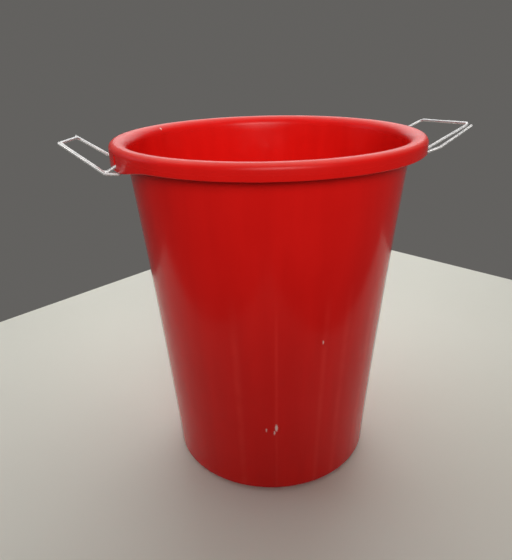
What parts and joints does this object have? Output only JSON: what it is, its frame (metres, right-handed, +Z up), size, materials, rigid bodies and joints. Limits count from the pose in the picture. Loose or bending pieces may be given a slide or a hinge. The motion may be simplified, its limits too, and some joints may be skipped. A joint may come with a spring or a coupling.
{
  "type": "wash bucket",
  "caption": "Tall tapered glossy plastic wash bucket with a rounded, down-turned rim and a swinging bent-wire handle on each side.",
  "frame": {"origin": "centre of the base on the ground", "axes": "+Z up, the two handles on the X axis, front is -Y"},
  "size_m": [0.4343, 0.34, 0.4015],
  "materials": {
    "bucket_plastic": "glossy moulded polypropylene, slightly translucent red",
    "zinc_wire": "bright zinc-plated drawn wire"
  },
  "bodies": {
    "bucket": {"bucket_body": "bucket_plastic"},
    "left_bail": {"left_handle": "zinc_wire"},
    "right_bail": {"right_handle": "zinc_wire"}
  },
  "joints": [
    {"name": "left_bail_swing", "type": "hinge", "parent": "bucket", "child": "left_bail", "pos_m": [-0.16279, 0, 0.3709], "axis": [0, 1, 0], "range_deg": [-128, 60]},
    {"name": "right_bail_swing", "type": "hinge", "parent": "bucket", "child": "right_bail", "pos_m": [0.16279, 0, 0.3709], "axis": [0, -1, 0], "range_deg": [-125, 52]}
  ]
}
